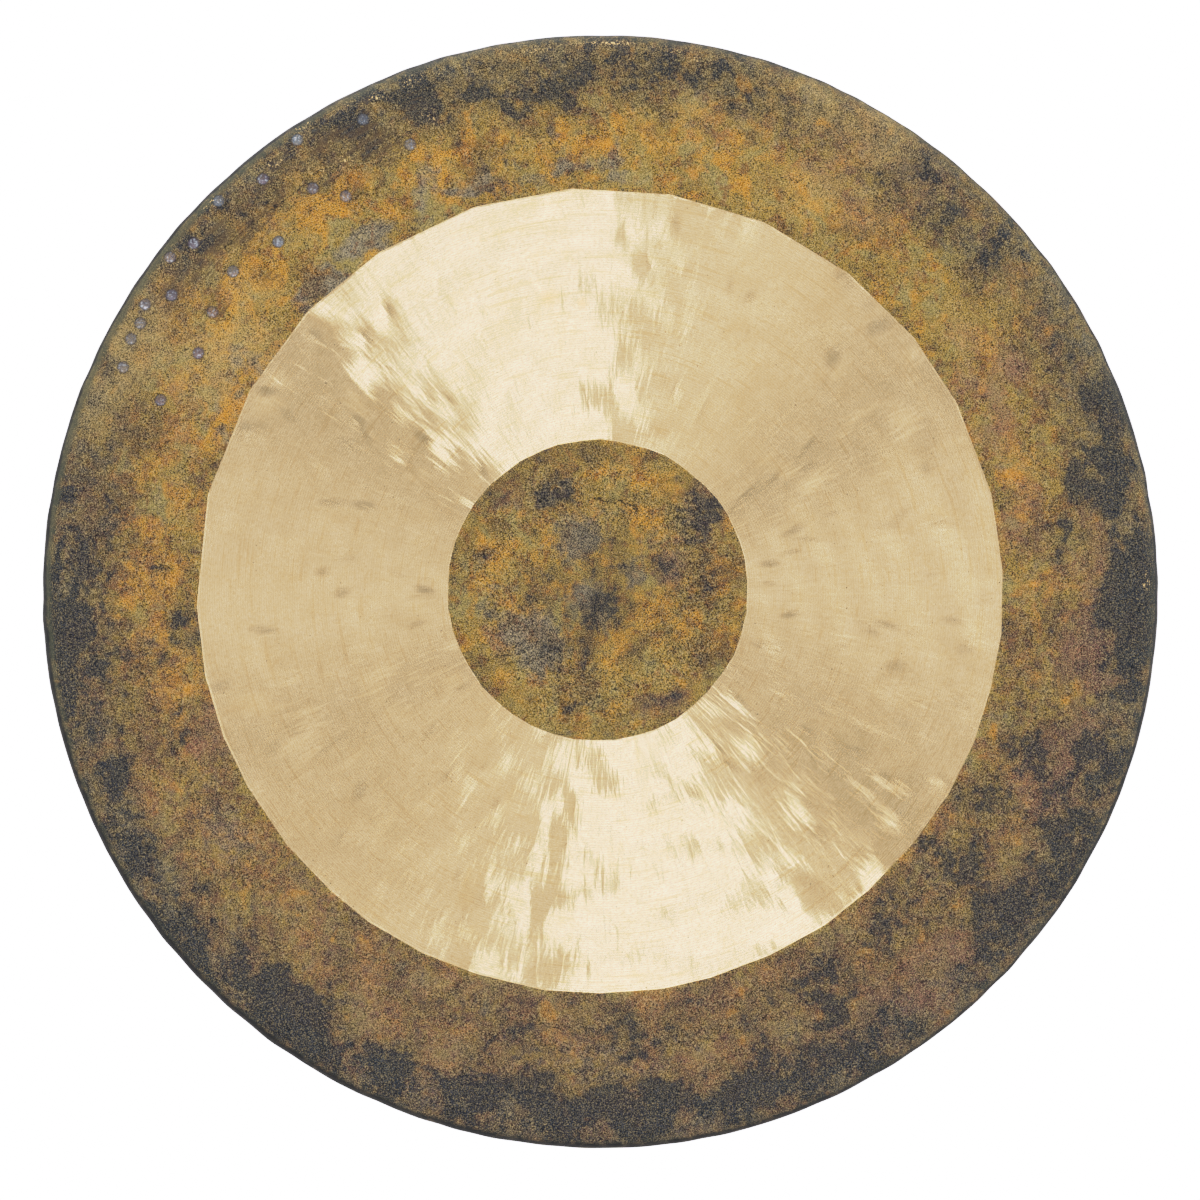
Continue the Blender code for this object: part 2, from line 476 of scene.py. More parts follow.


# Where the oxide is dark, rusty, amber, grey, clean, rubbed or worn through, and where the bright ring
# has painted shade for a darker reflection. Each stain: x and z of its middle and its half sizes round
# the circle and across it, in mm, and its strength. Placed one by one.
stains = {
    "dark": (
        (-268, -236, 60, 30, 0.3), (-60, -320, 60, 14, 0.6), (0, 340, 200, 18, 0.3), (0, 0, 60, 60, 0.34),
        (300, -160, 50, 16, 0.4), (20, -332, 70, 12, 0.5), (170, -285, 60, 16, 0.4), (346, 12, 40, 10, 0.4),
        (-124, 319, 30, 14, 1), (-70, 316, 34, 12, 0.65), (-20, 322, 50, 14, 0.55), (62, 322, 60, 12, 0.4),
        (186, 268, 24, 26, 0.45), (212, 236, 22, 14, 0.45), (246, 210, 14, 20, 0.3),
        (-175, 292, 50, 22, 0.4), (318, 66, 20, 13, 1), (330, 106, 26, 12, 0.8), (338, 30, 22, 9, 0.8),
        (296, 26, 18, 8, 0.7), (334, -6, 20, 12, 1), (340, -42, 20, 9, 0.8), (146, -266, 22, 10, 0.7),
        (30, -325, 60, 12, 0.7), (100, -318, 30, 9, 0.5), (-110, -310, 60, 14, 0.6),
        (-200, -262, 44, 14, 0.65), (-262, -210, 44, 14, 0.4), (-312, -120, 36, 14, 0.4),
        (-338, -40, 30, 10, 0.7), (-345, 20, 30, 8, 0.5), (-265, -76, 9, 6, 1), (262, -196, 30, 14, 0.5),
        (310, -110, 26, 12, 0.5), (-258, 232, 26, 5, 0.3), (250, -140, 60, 22, 0.5),
        (150, -235, 70, 22, 0.3), (225, -165, 60, 22, 0.35), (20, -280, 60, 16, 0.25),
        (-290, -60, 30, 20, 0.3), (61, 51, 15, 20, 0.9), (-30, 65, 12, 8, 0.8), (43, 16, 12, 10, 0.6),
        (46, -66, 17, 9, 0.7), (240, -130, 40, 18, 0.35), (-70, 65, 20, 14, 0.4), (60, -20, 10, 8, 0.3),
        (-300, 23, 5, 4, 0.9), (-287, 21, 5, 5, 0.9), (-304, 15, 5, 4, 0.9), (-297, -41, 7, 5, 0.8),
        (-313, -7, 6, 6, 0.7), (-332, 18, 6, 6, 0.5), (-262, -26, 16, 7, 0.7), (-5, -76, 24, 8, 0.6),
        (-10, -9, 8, 5, 0.3), (7, 2, 6, 5, 0.2), (-66, -31, 9, 7, 0.5),
    ),
    "rust": (
        (250, 120, 44, 26, 0.8), (270, 40, 40, 20, 0.6), (310, -30, 50, 20, 0.9), (292, -112, 44, 26, 1),
        (-244, -96, 22, 16, 0.9), (-250, 60, 26, 16, 0.4), (150, 262, 36, 16, 0.6), (90, 300, 30, 14, 0.5),
        (-60, -290, 44, 18, 0.5), (110, -272, 40, 18, 0.5), (220, -220, 30, 20, 0.6),
        (-180, -228, 30, 16, 0.4), (43, 16, 14, 12, 0.9), (46, -66, 20, 10, 0.9), (-66, -31, 12, 9, 0.9),
        (-60, 60, 14, 10, 0.5), (66, 52, 18, 24, 0.6), (200, -250, 60, 30, 0.8), (318, 20, 60, 26, 0.6),
        (190, 270, 60, 24, 0.5),
    ),
    "amber": (
        (-236, 128, 34, 14, 0.9), (-171, 248, 40, 12, 1), (-118, 272, 34, 10, 0.8),
        (-228, 196, 30, 10, 0.8), (-262, 160, 26, 12, 0.8), (-284, 4, 40, 16, 1), (-268, -56, 22, 10, 0.8),
        (-280, 40, 30, 12, 0.6), (0, 290, 44, 12, 0.7), (70, 282, 36, 12, 0.7), (128, 250, 26, 10, 0.6),
        (196, 184, 26, 12, 0.6), (262, 90, 22, 8, 0.7), (262, -10, 22, 7, 0.6), (250, -100, 26, 8, 0.4),
        (-216, -176, 24, 10, 0.5), (-140, -236, 26, 9, 0.4), (60, -268, 30, 9, 0.3), (14, 73, 14, 8, 0.9),
        (-66, 21, 12, 12, 0.9), (74, 7, 10, 9, 0.9), (87, -5, 10, 7, 0.9), (46, -16, 12, 9, 0.8),
        (77, -33, 10, 10, 0.9), (-90, -6, 10, 6, 0.8), (-43, -19, 12, 8, 0.8), (32, 44, 12, 8, 0.9),
        (-12, 2, 14, 8, 0.8), (6, -32, 12, 8, 0.5),
    ),
    "clean": (
        (-240, 150, 60, 26, 1), (145, 250, 56, 24, 0.7), (236, 150, 44, 22, 0.6), (-222, 236, 66, 20, 0.3),
        (-60, 300, 40, 20, 0.3), (60, 290, 40, 18, 0.5), (-300, 150, 60, 24, 1), (160, 300, 60, 20, 1),
    ),
    "rubbed": (
        (-235, 225, 70, 26, 1), (-160, 285, 60, 22, 0.9), (-290, 140, 50, 22, 0.45),
        (-265, 190, 50, 24, 0.7),
    ),
    "worn": (
        (6, 350, 34, 2.2, 0.8), (-40, 345, 14, 2, 0.6), (44, 345, 10, 2, 0.6), (-190, 298, 9, 5, 0.9),
        (-163, 274, 7, 6, 0.7), (-176, 269, 8, 4, 0.6), (-109, 302, 9, 5, 0.7), (-142, 315, 8, 4, 0.7),
        (-164, 310, 8, 4, 0.7), (-207, 273, 8, 5, 0.7), (-250, 250, 9, 4, 0.8), (-302, 136, 8, 4, 0.5),
        (348, 6, 5, 3, 0.9), (-120, 326, 12, 4, 0.6), (60, 339, 12, 3, 0.5), (-60, 328, 10, 4, 0.5),
    ),
    # painted shade on the bright ring, where it mirrors less light
    "ringShade": (
        (168, -130, 30, 80, 1), (-135, -150, 60, 60, 0.45),
    ),
    "grey": (
        (-19, 268, 26, 7, 0.9), (-89, 259, 22, 8, 0.9), (-178, 192, 16, 8, 1), (-140, 228, 24, 7, 0.6),
        (-230, 130, 26, 10, 0.5), (0, -300, 44, 12, 0.4), (220, -180, 30, 14, 0.4),
        (-240, -150, 30, 12, 0.4), (300, 190, 30, 10, 0.4), (-41, -30, 20, 14, 1), (-16, 32, 16, 12, 0.7),
        (-6, -6, 14, 10, 0.8), (-315, 35, 7, 5, 0.9), (20, 12, 10, 8, 0.5), (-70, -10, 12, 8, 0.4),
    ),
}


# The other masks: where each one starts and is full, in mm from the axis, and how strong it is
ageing = {
    "wanderSeeds": (41, 42),  # soft waves move the outlines of the stains
    "wanderWaves": ((14, 46), 0.25),
    "wander": (120, 2.5, 5.0),  # factors inside and outside this radius
    "centre": (97, 0.2),  # the dark centre is a little darker
    "band": (250, 262),
    "bandBelow": (0.42, 0.5),  # edge and rust at the bottom of the outer band
    "edge": (286, 342),
    "edgeAmount": (0.62, 0.28),  # at the top, and what the bottom has more
    "turn": (346, 353),
    "turnAmount": (0.45, 0.55),  # everywhere, and what the upper left has more
    "upperLeft": (160, 45),  # azimuth and width, in degrees
    "lowerLeft": 245,
    # a painted shade line along the bend of the rim
    "rimShadeLine": (352.6, 355.0),
    "rimShadeWider": 5.0,  # how much further in it starts at the lower left
    "wornEnd": (350, 360),  # this one, behind and bare are measured along the section
    "behind": (354, 372),
    "behindDark": 0.45,
    "bare": (383, 389),
    "holeRadius": 353,  # of the rim's outside at the cord holes
    "holeWear": (5.5, 9),  # from the middle of each hole
}


def paintMasks(mesh, co, angle, radius, data, punched):
    # Soft masks at the points of the mesh; the oxide's nodes add the fine grain
    masks = {name: np.zeros(len(angle)) for name in stains}
    limit, near, far = ageing["wander"]
    wander = np.where(radius < limit, near, far)
    x, z = (
        co[:, axis] + wander * softWaves(co[:, 0], co[:, 2], seed, *ageing["wanderWaves"])
        for axis, seed in zip((0, 2), ageing["wanderSeeds"])
    )
    for name, places in stains.items():
        for px, pz, along, across, strength in places:
            turn = atan2(pz, px)
            if name == "worn":  # flecks keep to the edge, so their outlines don't wander
                dx, dz = co[:, 0] - px, co[:, 2] - pz
            else:
                dx, dz = x - px, z - pz
            out = dx * cos(turn) + dz * sin(turn)
            side = -dx * sin(turn) + dz * cos(turn)
            spot = strength * np.exp(-((side / along) ** 2 + (out / across) ** 2))
            strengthen(masks, name, spot)
    onFront = (data["side"] > 0.5).astype(float)
    # the outer band darkens towards the rim, and more in its lower half
    below = 0.5 - 0.5 * np.sin(angle)
    band = smooth(radius, *ageing["band"])
    edge = smooth(radius, *ageing["edge"])
    edgeAbove, edgeMore = ageing["edgeAmount"]
    edgeBelow, rustBelow = ageing["bandBelow"]
    centre, centreDark = ageing["centre"]
    masks["edge"] = np.maximum(edge * (edgeAbove + edgeMore * below), edgeBelow * band * below)
    strengthen(masks, "rust", rustBelow * band * below)
    strengthen(masks, "dark", centreDark * (radius < centre))
    for name in stains:
        masks[name] = masks[name] * onFront
    # bare metal: the lip, and round the cord holes
    bare = smooth(data["arc"], *ageing["bare"])
    for side in (-1, 1):
        a = radians(90 + side * plate["holeAngle"])
        reach = ageing["holeRadius"]
        middle = np.array((cos(a) * reach, plate["holeDepth"], sin(a) * reach))
        away = np.linalg.norm(co - middle, axis=1)
        bare = np.maximum(bare, 1 - smooth(away, *ageing["holeWear"]))
    masks["bare"] = bare
    masks.update(punched)
    masks["pressed"] = data["pressed"]
    crest, width = ageing["upperLeft"]
    upperLeft = np.exp(-(turnFrom(angle, crest) / width) ** 2)
    least, more = ageing["turnAmount"]
    masks["turn"] = smooth(radius, *ageing["turn"]) * (least + more * upperLeft)
    lowerLeft = np.clip(np.cos(angle - radians(ageing["lowerLeft"])), 0, 1)
    behind = smooth(data["arc"], *ageing["behind"])
    # a painted shade line along the bend of the rim, starting further in at the lower left
    shadeStart, shadeEnd = ageing["rimShadeLine"]
    line = smooth(radius, shadeStart - ageing["rimShadeWider"] * lowerLeft, shadeEnd)
    masks["rimShadeLine"] = line * (1 - behind) * onFront
    strengthen(masks, "dark", ageing["behindDark"] * behind * onFront)
    masks["worn"] = masks["worn"] * (1 - smooth(data["arc"], *ageing["wornEnd"]))
    for name, values in masks.items():
        layer = mesh.attributes.new(name, "FLOAT", "POINT")
        layer.data.foreach_set("value", values.astype(np.float32))


def holeReach():
    # From the axis to the middle of the metal at a cord hole
    return rimRadius(plate["holeDepth"]) - plate["lipThickness"] / 2


def place(name, data):
    thing = bpy.data.objects.new(name, data)
    bpy.context.collection.objects.link(thing)
    return thing


def drillHoles(disc, metal):
    # The two cord holes, square to the rim
    for side in (-1, 1):
        a = radians(90 + side * plate["holeAngle"])
        along = Vector((cos(a), 0, sin(a)))
        middle = along * holeReach() * mm
        middle.y = plate["holeDepth"] * mm
        bpy.ops.mesh.primitive_cylinder_add(
            vertices=plate["drillSides"], radius=plate["holeDiameter"] / 2 * mm,
            depth=plate["drillLength"] * mm,
            location=disc.location + middle, rotation=along.to_track_quat("Z", "Y").to_euler(),
        )
        drill = bpy.context.object
        drill.data.materials.append(metal)
        cut = disc.modifiers.new("cordHole", "BOOLEAN")
        cut.operation = "DIFFERENCE"
        cut.solver = "EXACT"
        cut.material_mode = "TRANSFER"
        cut.object = drill
        bpy.context.view_layer.objects.active = disc
        disc.select_set(True)
        bpy.ops.object.modifier_apply(modifier=cut.name)
        bpy.data.objects.remove(drill, do_unlink=True)


def startMaterial(name):
    material = bpy.data.materials.new(name)
    material.use_nodes = True
    tree = material.node_tree
    where = add(tree, "TexCoord").outputs["Object"]
    return material, tree, tree.nodes["Principled BSDF"], where


def plug(tree, socket, value):
    # A link, or a plain value on the socket itself
    if isinstance(value, bpy.types.NodeSocket):
        tree.links.new(value, socket)
    else:
        socket.default_value = value


def plugAll(tree, node, values):
    for key, value in values.items():
        plug(tree, node.inputs[key], value)


def add(tree, kind, values=None, **settings):
    # A shader node, with values or links for its sockets and with its settings
    node = tree.nodes.new("ShaderNode" + kind)
    for key, value in settings.items():
        setattr(node, key, value)
    plugAll(tree, node, values or {})
    return node


def calc(tree, operation, a, b=0.0):
    return add(tree, "Math", {0: a, 1: b}, operation=operation).outputs[0]


def times(tree, a, b):
    return calc(tree, "MULTIPLY", a, b)


def total(tree, *parts):
    # Adds up (value, weight) pairs
    out = None
    for value, weight in parts:
        scaled = times(tree, value, weight)
        out = scaled if out is None else calc(tree, "ADD", out, scaled)
    return out


def grain(tree, vector, scale, detail=3.0, rough=0.55, warp=0.0, offset=0.0):
    if offset:
        vector = add(tree, "VectorMath", {0: vector, 1: (offset, offset, offset)}).outputs[0]
    values = {"Vector": vector, "Scale": scale, "Detail": detail, "Roughness": rough, "Distortion": warp}
    return add(tree, "TexNoise", values).outputs["Fac"]


def between(tree, value, low, high, toLow=0.0, toHigh=1.0):
    values = {"Value": value, "From Min": low, "From Max": high, "To Min": toLow, "To Max": toHigh}
    return add(tree, "MapRange", values, clamp=True).outputs["Result"]


def mask(tree, name):
    return add(tree, "Attribute", attribute_name=name).outputs["Fac"]


def linear(colour):
    # Screen values 0 to 255 as scene colour
    out = []
    for c in colour:
        c = c / 255
        out.append(c / 12.92 if c <= 0.04045 else ((c + 0.055) / 1.055) ** 2.4)
    return (*out, 1.0)


def sceneColours(look):
    # The same dictionary, its colours as scene colour
    return {k: linear(v) if isinstance(v, tuple) and len(v) == 3 else v for k, v in look.items()}


def blend(tree, amount, under, over, kind="MIX"):
    # Sockets 6, 7 and 2 are the colour ones of the mix node
    node = add(tree, "Mix", {0: amount, 6: under, 7: over}, data_type="RGBA", blend_type=kind)
    return node.outputs[2]


def vectorMath(tree, operation, a, b, output=0):
    return add(tree, "VectorMath", {0: a, 1: b}, operation=operation).outputs[output]


def aroundAxis(tree, where):
    # The place without its depth, the direction outwards from the axis and the distance from it
    parts = add(tree, "SeparateXYZ", {0: where}).outputs
    flat = add(tree, "CombineXYZ", {"X": parts["X"], "Y": 0.0, "Z": parts["Z"]}).outputs[0]
    outward = add(tree, "VectorMath", {0: flat}, operation="NORMALIZE").outputs[0]
    reach = add(tree, "VectorMath", {0: flat}, operation="LENGTH").outputs["Value"]
    return flat, outward, reach


# Thin dark marks on the oxide: x and z of both ends, and the width, in mm
scratches = (
    (-5, 59.6, 8, 56.4, 1.1), (8, 56.4, 14, 57.2, 1.3), (14, 57.2, 23, 53.2, 1.1), (23, 53.2, 23.8, 46, 0.8),
    (-73, -43.6, -48.3, -38.5, 0.8), (-58.5, -45.5, -36.9, -42.9, 0.7), (-295.4, -47.4, -283.3, -65.2, 1.0),
    (-282, -58.9, -272.5, -51.2, 0.9), (-265.5, -49.9, -261, -58.2, 1.1), (86, 14, 84, 22, 0.8),
    (-238.7, 219.2, -231.9, 226, 1.0), (-231.9, 226, -209.9, 243, 0.6), (-209.9, 243, -191.1, 257.4, 0.6),
    (-191.1, 257.4, -179.3, 267.6, 0.8), (-179.3, 267.6, -162.3, 273.5, 0.8),
)

oxideLook = {
    "ochre": (155, 127, 62),
    "amber": (186, 137, 52),
    "orange": (174, 109, 48),
    "khaki": (147, 131, 78),
    "steel": (138, 130, 118),
    "brown": (116, 80, 46),
    "rust": (128, 78, 46),
    "umber": (96, 86, 76),
    "plum": (127, 86, 84),
    "honey": (186, 129, 42),
    "pale": (172, 148, 98),
    "streak": (86, 70, 54),
    "slate": (41, 56, 71),
    "cool": (92, 100, 104),
    "speck": (30, 31, 36),
    "shade": (60, 64, 72),  # darkens what lies below it
    "paleSpeck": (200, 178, 128),
    "punchBlue": (98, 110, 124),
    "punchPlum": (102, 90, 102),
    # painted highlight specks in the punch marks
    "punchHighlight": (180, 188, 198),
    "olive": (76, 78, 64),
    "bronze": (226, 196, 140),
    "roughness": (0.48, 0.66),
    "metal": 0.35,
    "gloss": 0.08,
    # its layers of noise: scale, detail, roughness, warp and offset
    "grains": (
        (24, 4, 0.55, 0.5),  # broad
        (58, 4, 0.55, 0.5, 3.0),  # three kinds of cloud
        (66, 4, 0.55, 0.5, 7.0),
        (48, 4, 0.55, 0.6, 11.0),
        (170, 4, 0.6, 0.3),  # mottle
        (105, 3, 0.55, 0.8, 13.0),  # patches
        (70, 1, 0.5, 0.4, 19.0),  # islands
        (700, 2, 0.6),  # grit
        (1600, 1, 0.5, 0.0, 5.0),  # dots
        (1500, 1, 0.5, 0.0, 9.0),  # dust
        (1300, 1, 0.5, 0.0, 17.0),  # fine
    ),
}


def scratchMask(tree, flat):
    # Where a scratch runs: the distance to the nearest point of its line, which wavers a little
    wobble = add(tree, "TexNoise", {"Vector": flat, "Scale": 240, "Detail": 2}).outputs["Color"]
    wobble = vectorMath(tree, "SUBTRACT", wobble, (0.5, 0.5, 0.5))
    wobble = vectorMath(tree, "MULTIPLY", wobble, (7 * mm, 0, 7 * mm))
    flat = vectorMath(tree, "ADD", flat, wobble)
    out = None
    for x1, z1, x2, z2, width in scratches:
        start, run = Vector((x1, 0, z1)) * mm, Vector((x2 - x1, 0, z2 - z1)) * mm
        offset = vectorMath(tree, "SUBTRACT", flat, start)
        share = vectorMath(tree, "DOT_PRODUCT", offset, run / run.length_squared, "Value")
        share = between(tree, share, 0.0, 1.0)
        nearest = add(tree, "VectorMath", {0: run, "Scale": share}, operation="SCALE").outputs[0]
        away = vectorMath(tree, "DISTANCE", offset, nearest, "Value")
        line = between(tree, away, width * 0.35 * mm, width * 0.75 * mm, 1.0, 0.0)
        out = line if out is None else calc(tree, "MAXIMUM", out, line)
    return out


def oxideMaterial():
    look = sceneColours(oxideLook)
    material, tree, shader, where = startMaterial("oxideSkin")
    grains = [grain(tree, where, *settings) for settings in look["grains"]]
    broad, cloudA, cloudB, cloudC, mottle, patch, islands, grit, dots, dust, fine = grains

    # broad hues, each over the ones before it: levels where it starts and is full, its share, its parts
    hues = (
        ("amber", 0.6, 0.76, 1.0, (mask(tree, "amber"), 0.3), (cloudA, 1.0), (mottle, 0.2)),
        ("orange", 0.86, 0.96, 0.6, (cloudB, 1.0), (mottle, 0.3), (broad, 0.3)),
        ("khaki", 0.61, 0.75, 1.0, (cloudC, 1.0), (mottle, 0.2)),
        ("steel", 1.05, 1.45, 0.8, (mask(tree, "grey"), 1.0), (mottle, 1.2), (cloudC, 0.6)),
        ("brown", 0.36, 0.48, 0.65, (broad, 0.9), (cloudB, -0.6), (mottle, 0.35)),
        ("rust", 0.73, 0.79, 0.6, (patch, 1.0), (mottle, 0.3)),
        ("umber", 0.5, 1.2, 0.62, (mask(tree, "edge"), 0.9), (mottle, 0.4), (cloudB, 0.5)),
        ("plum", 0.58, 0.92, 0.68, (mask(tree, "rust"), 0.5), (cloudA, 0.5), (mottle, 0.5)),
        ("cool", 0.22, 0.4, 0.5, (mottle, 0.6), (cloudA, -0.6), (mask(tree, "edge"), 0.35)),
        ("pale", 0.4, 1.1, 0.62, (mask(tree, "clean"), 0.8), (mottle, 0.5)),
    )
    colour = look["ochre"]
    amount = {}
    for name, low, high, most, *parts in hues:
        amount[name] = between(tree, total(tree, *parts), low, high, 0.0, most)
        colour = blend(tree, amount[name], colour, look[name])
    amber, steel = amount["amber"], amount["steel"]

    # smooth amber spots with few dots
    edge = mask(tree, "edge")
    spots = total(tree, (islands, 1.0), (mottle, 0.25), (mask(tree, "amber"), 0.08), (edge, -0.07))
    spots = between(tree, spots, 0.76, 0.88)
    colour = blend(tree, times(tree, spots, 0.62), colour, look["honey"])

    # dark oxide: a soft shade, ragged patches with clear edges, and fine dots over all of it
    depth = total(
        tree, (mask(tree, "dark"), 0.36), (edge, 0.18), (steel, 0.06), (amber, -0.05),
        (mask(tree, "clean"), -0.14), (cloudC, -0.45), (broad, 0.5), (mottle, 0.5), (spots, -0.02),
    )
    colour = blend(tree, between(tree, depth, 0.28, 0.54, 0.0, 0.5), colour, look["slate"])
    ragged = between(tree, total(tree, (depth, 1.0), (grit, 0.14)), 0.525, 0.58)
    colour = blend(tree, times(tree, ragged, 0.64), colour, look["slate"])
    lit = between(tree, ragged, 0.0, 1.0, 1.0, 0.65)
    crowd = calc(tree, "MINIMUM", depth, 0.5)
    crowd = total(tree, (dots, 1.0), (crowd, 0.3), (steel, 0.05), (spots, -0.05))
    colour = blend(tree, between(tree, crowd, 0.608, 0.643, 0.0, 0.92), colour, look["speck"])
    colour = blend(tree, between(tree, fine, 0.45, 0.33, 0.0, 0.62), colour, look["shade"], "MULTIPLY")
    for speckle, low, high, strength in ((fine, 0.56, 0.68, 0.45), (dust, 0.63, 0.69, 0.55)):
        speckle = times(tree, between(tree, speckle, low, high), strength)
        colour = blend(tree, times(tree, speckle, lit), colour, look["paleSpeck"])

    # rubbing marks that run round the plate in the upper left
    flat, outward, reach = aroundAxis(tree, where)
    reach = add(tree, "CombineXYZ", {"Y": reach}).outputs[0]
    drawn = add(tree, "VectorMath", {0: outward, "Scale": 0.03}, operation="SCALE").outputs[0]
    drawn = grain(tree, vectorMath(tree, "ADD", drawn, reach), 420, 3, 0.6)
    rubs = total(tree, (drawn, 1.0), (mottle, 0.3), (mask(tree, "rubbed"), 0.3))
    colour = blend(tree, between(tree, rubs, 0.86, 1.0, 0.0, 0.6), colour, look["streak"])

    # the rolled edge, and a painted shade line along its bend
    turned = between(tree, total(tree, (mask(tree, "turn"), 0.7), (mottle, 0.6)), 0.5, 0.9, 0.0, 0.7)
    colour = blend(tree, turned, colour, look["olive"])
    rimShadeLine = between(tree, total(tree, (mask(tree, "rimShadeLine"), 1.0), (mottle, 0.6)), 0.7, 1.1, 0.0, 0.9)
    colour = blend(tree, rimShadeLine, colour, look["speck"])

    # the punch marks, with painted highlight specks and a painted shade ring round each rim, and the
    # scratches
    tint = blend(tree, mask(tree, "punchTone"), look["punchBlue"], look["punchPlum"])
    inside = mask(tree, "punched")
    punched = times(tree, inside, between(tree, mottle, 0.3, 0.7, 0.6, 1.0))
    colour = blend(tree, punched, colour, tint)
    # painted highlight specks inside each mark
    glint = times(tree, inside, between(tree, grit, 0.54, 0.64, 0.0, 0.7))
    colour = blend(tree, glint, colour, look["punchHighlight"])
    # painted shade round the rim of each mark
    outline = times(tree, mask(tree, "punchRimShade"), between(tree, grit, 0.35, 0.6, 0.3, 0.9))
    scratched = times(tree, scratchMask(tree, flat), between(tree, grit, 0.38, 0.55, 0.3, 0.9))
    colour = blend(tree, calc(tree, "MAXIMUM", outline, scratched), colour, look["speck"])
    shine = times(tree, inside, 0.8)

    # bare metal at the lip, and gold flecks where the rim is rubbed
    wear = between(tree, total(tree, (mask(tree, "bare"), 1.0), (mottle, 0.5)), 0.85, 1.1)
    flecks = between(tree, total(tree, (mask(tree, "worn"), 0.28), (grit, 1.0)), 0.74, 0.82, 0.0, 0.9)
    wear = calc(tree, "MAXIMUM", wear, flecks)
    colour = blend(tree, wear, colour, look["bronze"])
    metal = between(tree, calc(tree, "MAXIMUM", wear, shine), 0.0, 1.0, look["metal"], 1.0)
    rough = between(tree, mottle, 0.3, 0.7, *look["roughness"])
    rough = calc(tree, "SUBTRACT", rough, times(tree, shine, 0.3))
    height = total(tree, (mottle, 0.4), (grit, 0.25), (dots, -0.15))
    bump = add(tree, "Bump", {"Height": height, "Strength": 0.35, "Distance": 0.4 * mm}).outputs[0]
    plugAll(tree, shader, {
        "Base Color": colour, "Metallic": metal, "Roughness": rough, "Specular IOR Level": look["gloss"],
        "Normal": bump,
    })
    return material


scrapedLook = {
    "bronze": (236, 210, 165),
    "warm": (220, 193, 146),
    "tarnish": (208, 175, 122),
    "blush": (232, 176, 116),
    # multiplies the bright ring's colour as painted shade
    "ringShade": (238, 238, 237),
    "blushes": ((-33, 187, 9), (-11, 184, 6)),  # x, z and size, in mm
    "pit": (84, 62, 40),
    "roughness": 0.16,
    "anisotropy": 1.0,
    "cutPitch": 0.6,  # mm, the scraper's fine chatter lines
    "cutSlope": 0.16,
    "groovePitch": 1.5,  # mm, one turn of the lathe to the next
    "streakSlope": 0.009,
}


def scrapedMaterial():
    look = sceneColours(scrapedLook)
    material, tree, shader, where = startMaterial("scrapedBronze")
    flat, outward, r = aroundAxis(tree, where)
    unit = add(tree, "SeparateXYZ", {0: outward})
    cosine, sine = unit.outputs["X"], unit.outputs["Z"]

    def polar(aroundScale, alongScale):
        # noise space whose grain stretches out from the centre, or round it
        across = times(tree, cosine, aroundScale)
        up = times(tree, sine, aroundScale)
        along = times(tree, r, alongScale)
        return add(tree, "CombineXYZ", {"X": across, "Y": up, "Z": along}).outputs[0]

    lines = grain(tree, polar(0.08, 1.0), 430, 3, 0.75)
    rings = grain(tree, polar(0.1, 1.0), 110, 3, 0.6)
    cloud = grain(tree, where, 16, 4, 0.6, 0.4)
    smear = grain(tree, polar(1.0, 2.4), 16, 5, 0.6, 0.6)
    turns = calc(tree, "SINE", times(tree, r, 2 * pi / (look["groovePitch"] * mm)))
    tone = total(tree, (lines, 0.8), (rings, 1.2), (cloud, 0.5), (turns, 0.22))
    colour = blend(tree, between(tree, tone, 1.0, 1.7), look["warm"], look["bronze"])
    tarnished = between(tree, total(tree, (smear, 1.0), (lines, 0.2)), 0.66, 0.92, 0.0, 0.6)
    colour = blend(tree, tarnished, colour, look["tarnish"])
    arcs = between(tree, grain(tree, polar(0.012, 1.0), 560, 1, 0.5, 0.0, 4.0), 0.62, 0.7, 0.0, 0.5)
    colour = blend(tree, arcs, colour, look["tarnish"])
    for spotX, spotZ, size in look["blushes"]:
        middle = Vector((spotX, 0, spotZ)) * mm
        away = vectorMath(tree, "DISTANCE", flat, middle, "Value")
        blush = between(tree, total(tree, (away, 1 / (size * mm)), (smear, 1.2)), 0.5, 1.5, 0.5, 0.0)
        colour = blend(tree, blush, colour, look["blush"])
    chatter = between(tree, grain(tree, polar(0.12, 1.0), 950, 1, 0.5), 0.48, 0.66, 0.0, 0.5)
    colour = blend(tree, chatter, colour, look["tarnish"])
    # painted shade: the bright ring is darker where it mirrors less light
    colour = blend(tree, mask(tree, "ringShade"), colour, look["ringShade"], "MULTIPLY")
    pits = between(tree, grain(tree, where, 620, 1, 0.5), 0.77, 0.8, 0.0, 0.8)
    colour = blend(tree, pits, colour, look["pit"])

    # relief in mm: chatter lines round the centre, weaker where a blow has pressed them flat
    wave = calc(tree, "PINGPONG", times(tree, r, 1 / mm), look["cutPitch"] / 2)
    streaks = grain(tree, polar(1.0, 1.3), 34, 2, 0.5, 0.4)
    pressed = between(tree, mask(tree, "pressed"), 0.1, 0.7, look["cutSlope"], look["cutSlope"] * 0.1)
    ridges = times(tree, wave, pressed)
    height = total(tree, (ridges, 1.0), (streaks, look["streakSlope"] * 14))
    values = {"Height": height, "Strength": 1.0, "Distance": mm, "Filter Width": 0.02}
    plugAll(tree, shader, {
        "Base Color": colour, "Metallic": 1.0, "Roughness": look["roughness"],
        "Anisotropic": look["anisotropy"], "Tangent": outward,
        "Normal": add(tree, "Bump", values).outputs[0],
    })
    return material


drilledLook = {
    "brown": (176, 132, 70),
    "gold": (224, 188, 118),
    "roughness": (0.25, 0.45),
}


def drilledMaterial():
    # Bare metal in the cord holes
    look = sceneColours(drilledLook)
    material, tree, shader, where = startMaterial("drilledBronze")
    rub = grain(tree, where, 900, 3, 0.6)
    colour = blend(tree, rub, look["brown"], look["gold"])
    rough = between(tree, rub, 0.3, 0.7, *look["roughness"])
    plugAll(tree, shader, {"Base Color": colour, "Metallic": 1.0, "Roughness": rough})
    return material


